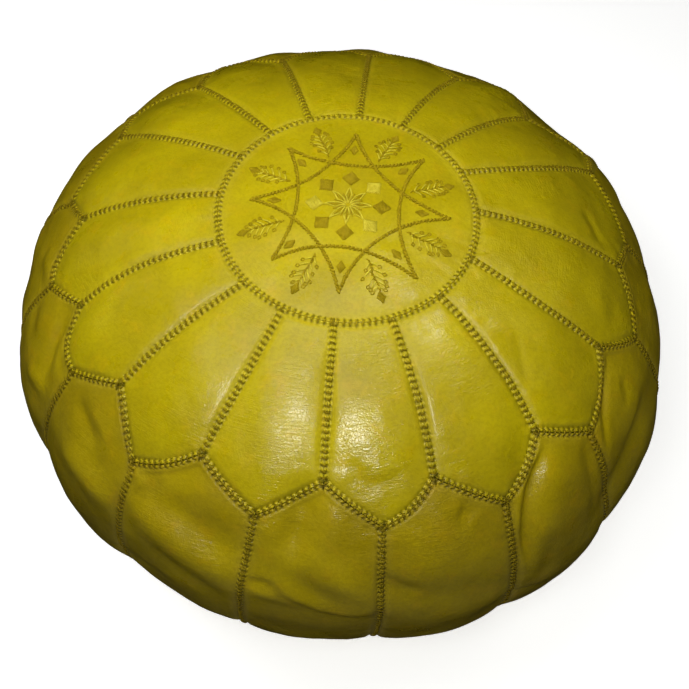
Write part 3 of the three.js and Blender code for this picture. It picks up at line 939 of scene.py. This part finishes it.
def rosette(light, dark, random):
    """Eight narrow petals of two threads each round the centre."""
    for k in range(STAR_POINTS):
        degrees = k * STAR_ANGLE + STAR_TURN
        tip_place = polar(16.0 + random.uniform(-0.8, 0.8), degrees)
        for turn in (-1, 1):
            light.stitch(polar(1.6, degrees), polar(9.0, degrees + turn * 14), 0.48, 0.4)
            light.stitch(polar(9.0, degrees + turn * 14), tip_place, 0.48, 0.4)
        dark.stitch(polar(3.0, degrees), polar(12.5, degrees), 0.45, 0.3)
        between = degrees + STAR_ANGLE / 2
        dark.stitch(polar(4.0, between), polar(11.0, between), 0.42, 0.3)


# Materials.


def add_node(tree, kind, inputs=None, **settings):
    made = tree.nodes.new(kind)
    for key, value in settings.items():
        setattr(made, key, value)
    for key, value in (inputs or {}).items():
        if isinstance(value, bpy.types.NodeSocket):
            tree.links.new(value, made.inputs[key])
        else:
            made.inputs[key].default_value = value
    return made


def maths(tree, operation, *values, clamp=False):
    inputs = dict(enumerate(values))
    return add_node(tree, "ShaderNodeMath", inputs, operation=operation, use_clamp=clamp).outputs[0]


def blend(tree, share, a, b, kind="MIX"):
    inputs = {0: share, 6: a, 7: b}
    return add_node(tree, "ShaderNodeMix", inputs, data_type="RGBA", blend_type=kind).outputs[2]


def remap(tree, value, low, high, to_low=0.0, to_high=1.0):
    inputs = {"Value": value, "From Min": low, "From Max": high, "To Min": to_low, "To Max": to_high}
    made = add_node(tree, "ShaderNodeMapRange", inputs, interpolation_type="SMOOTHSTEP")
    return made.outputs["Result"]


def noise(tree, vector, scale, detail=2.0, roughness=0.5, distortion=0.0):
    inputs = {
        "Vector": vector, "Scale": scale, "Detail": detail, "Roughness": roughness,
        "Distortion": distortion,
    }
    return add_node(tree, "ShaderNodeTexNoise", inputs).outputs["Fac"]


def stretched(tree, vector, scale):
    made = add_node(tree, "ShaderNodeMapping", {"Vector": vector, "Scale": scale})
    return made.outputs["Vector"]


def new_material(name):
    material = bpy.data.materials.new(name)
    material.use_nodes = True
    tree = material.node_tree
    return material, tree, tree.nodes["Principled BSDF"]


HOLE_PLACE = 1.65
# Shares of the colour taken away as painted shade in the stitch holes and where the stitches pinch
# the leather.
HOLE_PAINTED_SHADE = 0.5
PINCH_PAINTED_SHADE = 0.38
PEBBLE_DEPTH = 0.04
WRINKLE_DEPTH = 0.5
SLACK_DEPTH = 0.3
HOLE_DEPTH = 0.6
PINCH_DEPTH = 0.5
WRINKLE_STRETCH = (0.12, 0.42, 0.3)
GLAZE_ROUGHNESS = 0.14


def fading(tree, distance, rate):
    """One at a distance of nothing, and less by a bell curve away from it."""
    return maths(
        tree, "EXPONENT", maths(tree, "MULTIPLY", maths(tree, "MULTIPLY", distance, distance), -rate)
    )


def leather(name, pale, deep, roughness, grain, wax):
    """Dyed, waxed leather: mottled colour, pebbled grain, fine wrinkles, pulled stitch holes, and
    painted shade in the holes and at the stitches' pinches.
    """
    material, tree, shader = new_material(name)
    place = add_node(tree, "ShaderNodeTexCoord").outputs["Object"]
    skin = add_node(tree, "ShaderNodeAttribute", attribute_name="skin").outputs["Vector"]
    sewn = add_node(tree, "ShaderNodeAttribute", attribute_name="sewn").outputs["Vector"]
    parts = add_node(tree, "ShaderNodeSeparateXYZ", {"Vector": sewn}).outputs
    distance, run = parts["X"], parts["Y"]

    clouds = noise(tree, place, 17.0, 3.0, 0.55)
    blotches = noise(tree, place, 75.0, 4.0, 0.6, 0.4)
    specks = noise(tree, place, 420.0, 3.0, 0.6)
    colour = blend(tree, remap(tree, clouds, 0.3, 0.72), deep, pale)
    warm = (pale[0] * 1.12, pale[1] * 0.93, pale[2], 1.0)
    colour = blend(tree, remap(tree, blotches, 0.5, 0.8, 0.0, 0.55), colour, warm)
    faint = remap(tree, specks, 0.3, 0.62, 0.86, 1.0)
    shade = add_node(tree, "ShaderNodeCombineColor", {0: faint, 1: faint, 2: faint}).outputs[0]
    colour = blend(tree, 1.0, colour, shade, "MULTIPLY")

    # Painted shade: the leather is darkened in the stitch holes beside the thread and where each
    # stitch pinches it.
    phase = maths(tree, "MULTIPLY", run, 2 * math.pi)
    beat = maths(tree, "COSINE", phase)
    at_stitch = maths(tree, "MULTIPLY_ADD", beat, -0.5, 0.5)
    sharp = maths(tree, "POWER", at_stitch, 2.5)
    off_hole = maths(tree, "SUBTRACT", distance, HOLE_PLACE)
    hole = maths(tree, "MULTIPLY", sharp, fading(tree, off_hole, 0.9))
    pinch = maths(tree, "MULTIPLY", at_stitch, fading(tree, distance, 0.2))
    # The colour is made up to 12 percent paler within about 3 mm of the seam's line.
    paler_near_seam = remap(tree, distance, 0.8, 3.2, 1.12, 1.0)
    seam_tone_and_painted_shade = maths(tree, "MULTIPLY", paler_near_seam, maths(tree, "MULTIPLY_ADD", hole, -HOLE_PAINTED_SHADE, 1.0))
    seam_tone_and_painted_shade = maths(tree, "MULTIPLY", seam_tone_and_painted_shade, maths(tree, "MULTIPLY_ADD", pinch, -PINCH_PAINTED_SHADE, 1.0))
    shade = add_node(tree, "ShaderNodeCombineColor", {0: seam_tone_and_painted_shade, 1: seam_tone_and_painted_shade, 2: seam_tone_and_painted_shade}).outputs[0]
    colour = blend(tree, 1.0, colour, shade, "MULTIPLY")
    tree.links.new(colour, shader.inputs["Base Color"])

    inputs = {"Vector": place, "Scale": 400.0}
    cells = add_node(tree, "ShaderNodeTexVoronoi", inputs, feature="DISTANCE_TO_EDGE")
    pebbles = remap(tree, cells.outputs["Distance"], 0.0, 0.16)
    lines = noise(tree, stretched(tree, skin, WRINKLE_STRETCH), 1.0, 3.0, 0.6, 1.15)
    places = remap(tree, noise(tree, place, 24.0, 2.0), 0.42, 0.68)
    wrinkles = maths(tree, "MULTIPLY", lines, maths(tree, "MULTIPLY_ADD", places, 0.75, 0.18))
    slack = noise(tree, place, 150.0, 2.0, 0.5)
    height = maths(tree, "MULTIPLY", pebbles, PEBBLE_DEPTH * grain)
    height = maths(tree, "MULTIPLY_ADD", wrinkles, WRINKLE_DEPTH * grain, height)
    height = maths(tree, "MULTIPLY_ADD", slack, SLACK_DEPTH * grain, height)
    height = maths(tree, "MULTIPLY_ADD", hole, -HOLE_DEPTH, height)
    height = maths(tree, "MULTIPLY_ADD", pinch, -PINCH_DEPTH, height)
    bump = add_node(tree, "ShaderNodeBump", {"Height": height, "Strength": 1.0, "Distance": MM})
    tree.links.new(bump.outputs["Normal"], shader.inputs["Normal"])

    rubbed = noise(tree, place, 46.0, 4.0, 0.6)
    gloss = remap(tree, rubbed, 0.3, 0.7, roughness - 0.07, roughness + 0.09)
    duller = remap(tree, distance, 1.0, 10.0, 0.25, 0.0)
    rough = maths(tree, "MULTIPLY_ADD", duller, 1.0, gloss, clamp=True)
    tree.links.new(rough, shader.inputs["Roughness"])
    shader.inputs["Specular IOR Level"].default_value = 0.3
    glaze = remap(tree, distance, 3.0, 11.0, 0.16 * wax, wax)
    tree.links.new(glaze, shader.inputs["Coat Weight"])
    shader.inputs["Coat Roughness"].default_value = GLAZE_ROUGHNESS
    tree.links.new(bump.outputs["Normal"], shader.inputs["Coat Normal"])
    return material


def thread(name, pale, deep, roughness):
    material, tree, shader = new_material(name)
    place = add_node(tree, "ShaderNodeTexCoord").outputs["Object"]
    tone = remap(tree, noise(tree, place, 260.0, 3.0, 0.6), 0.32, 0.68)
    tree.links.new(blend(tree, tone, deep, pale), shader.inputs["Base Color"])
    strands = noise(tree, place, 1500.0, 2.0, 0.6)
    bump = add_node(
        tree, "ShaderNodeBump", {"Height": maths(tree, "MULTIPLY", strands, 0.25), "Distance": MM}
    )
    tree.links.new(bump.outputs["Normal"], shader.inputs["Normal"])
    shader.inputs["Roughness"].default_value = roughness
    shader.inputs["Specular IOR Level"].default_value = 0.06
    return material


# One row for each leather: its paler and deeper shade, roughness, depth of grain and glaze of wax.
LEATHER_ROWS = [
    ["petal_leather", (0.435, 0.35, 0.002, 1), (0.35, 0.276, 0.002, 1), 0.31, 1.0, 0.75],
    # The side leather's shades are darker than the petals': partly its own tone, and partly painted
    # shade for sides that turn away from the lamps.
    ["side_leather", (0.375, 0.285, 0.002, 1), (0.29, 0.215, 0.002, 1), 0.34, 1.1, 0.5],
    ["medallion_leather", (0.43, 0.345, 0.003, 1), (0.365, 0.285, 0.002, 1), 0.32, 0.8, 0.75],
    ["base_leather", (0.33, 0.27, 0.010, 1), (0.26, 0.21, 0.008, 1), 0.55, 1.0, 0.3],
]
LEATHERS = {columns[0]: leather(*columns) for columns in LEATHER_ROWS}
THREAD = thread("seam_thread", (0.215, 0.155, 0.004, 1), (0.14, 0.10, 0.003, 1), 0.6)
RING_THREAD = thread("ring_thread", (0.32, 0.235, 0.005, 1), (0.24, 0.17, 0.003, 1), 0.6)
DARK_SILK = thread("dark_silk", (0.33, 0.245, 0.006, 1), (0.25, 0.18, 0.004, 1), 0.45)
LIGHT_SILK = thread("light_silk", (0.55, 0.465, 0.04, 1), (0.44, 0.36, 0.02, 1), 0.4)

stuffed_body()
medallion(embroidery())
for number in range(PIECES):
    petal(number)
    side_panel(number)
seam_stitches()

# Floor, light and camera.

FLOOR_RADIUS = 2.5
SWEEP_RADIUS = 1.5
SWEEP_TOP = 4.0
FLOOR_SIDES = 96
SWEEP_STEPS = 12
BOUNCE_RADIUS = 1.2
BOUNCE_DEPTH = 0.004
BOUNCE_STRENGTH = 0.42


def floor():
    """A round pale floor that sweeps up into a wall, so it lies behind every view."""
    quarter = np.linspace(0, np.pi / 2, SWEEP_STEPS + 1)
    out = FLOOR_RADIUS + SWEEP_RADIUS * np.sin(quarter)
    up = SWEEP_RADIUS * (1 - np.cos(quarter))
    section = [(0.01, 0.0), *zip(out, up), (FLOOR_RADIUS + SWEEP_RADIUS, SWEEP_TOP)]
    angle = np.arange(FLOOR_SIDES) * 2 * np.pi / FLOOR_SIDES
    points = np.array([(r * np.cos(a), r * np.sin(a), z) for r, z in section for a in angle])
    place = np.arange(len(points)).reshape(len(section), FLOOR_SIDES)
    around = np.roll(place, -1, axis=1)
    walls = np.stack([place[:-1], place[1:], around[1:], around[:-1]], axis=-1).reshape(-1, 4)
    mesh = bpy.data.meshes.new("floor")
    mesh.from_pydata(points, [], walls.tolist() + [place[0].tolist()])
    mesh.shade_smooth()
    material, _, shader = new_material("floor")
    shader.inputs["Base Color"].default_value = (0.86, 0.86, 0.85, 1)
    shader.inputs["Roughness"].default_value = 0.9
    shader.inputs["Emission Color"].default_value = (1.0, 1.0, 0.99, 1)
    shader.inputs["Emission Strength"].default_value = 0.7
    made = add_object("floor", mesh, material)
    made.visible_diffuse = False
    made.visible_glossy = False
    made.visible_shadow = False


def bounce():
    """The light that a pale floor throws back up under the pouf."""
    angle = np.arange(FLOOR_SIDES) * 2 * np.pi / FLOOR_SIDES
    points = BOUNCE_RADIUS * np.stack([np.cos(angle), np.sin(angle), 0 * angle], axis=1)
    mesh = bpy.data.meshes.new("bounce")
    mesh.from_pydata(points - [0, 0, BOUNCE_DEPTH], [], [list(range(FLOOR_SIDES))])
    material, _, shader = new_material("bounce")
    shader.inputs["Base Color"].default_value = (0, 0, 0, 1)
    shader.inputs["Emission Color"].default_value = (1.0, 0.98, 0.94, 1)
    shader.inputs["Emission Strength"].default_value = BOUNCE_STRENGTH
    made = add_object("bounce", mesh, material)
    made.visible_camera = False
    made.visible_glossy = False
    made.visible_shadow = False


def area_light(name, place, target, size, watts, glints):
    data = bpy.data.lights.new(name, "AREA")
    data.shape = "DISK"
    data.size = size
    data.energy = watts
    made = bpy.data.objects.new(name, data)
    made.location = place
    made.rotation_euler = (Vector(target) - Vector(place)).to_track_quat("-Z", "Y").to_euler()
    made.visible_camera = False
    made.visible_glossy = glints
    bpy.context.scene.collection.objects.link(made)


floor()
bounce()
CENTRE = (0.0, 0.0, FLOOR_DROP * MM)
area_light("key", (-0.04, -0.41, 0.76), CENTRE, 0.2, 1.55, True)
area_light("front", (-0.25, -0.18, 0.85), CENTRE, 0.3, 0.7, False)
area_light("over", (-0.06, -0.06, 0.65), CENTRE, 0.3, 1.15, False)
area_light("left", (-0.78, 0.28, 0.66), CENTRE, 0.4, 2.3, False)
area_light("right", (0.52, 0.08, 0.90), CENTRE, 0.4, 1.05, False)
area_light("glint", (0.20, 0.10, 0.97), CENTRE, 0.12, 0.3, True)

world = bpy.data.worlds.new("studio")
world.use_nodes = True
world.node_tree.nodes["Background"].inputs["Color"].default_value = (1.0, 0.99, 0.97, 1)
world.node_tree.nodes["Background"].inputs["Strength"].default_value = 0.05
world.cycles_visibility.glossy = False
bpy.context.scene.world = world
bpy.context.scene.view_settings.view_transform = "Standard"

CAMERA_DISTANCE = 0.7981
CAMERA_ELEVATION = math.radians(58.34)
CAMERA_ROLL = math.radians(2.90)
CAMERA_LENS = 49.59
CAMERA_SHIFT = (0.0035, -0.0359)
camera_data = bpy.data.cameras.new("camera")
camera_data.sensor_width = 36.0
camera_data.lens = CAMERA_LENS
camera_data.shift_x, camera_data.shift_y = CAMERA_SHIFT
camera_data.clip_start = 0.01
camera = bpy.data.objects.new("camera", camera_data)
bpy.context.scene.collection.objects.link(camera)
back = Vector((0, -math.cos(CAMERA_ELEVATION), math.sin(CAMERA_ELEVATION)))
look = (-back).to_track_quat("-Z", "Y").to_matrix() @ Matrix.Rotation(CAMERA_ROLL, 3, "Z")
camera.matrix_world = Matrix.Translation(Vector(CENTRE) + back * CAMERA_DISTANCE) @ look.to_4x4()
bpy.context.scene.camera = camera
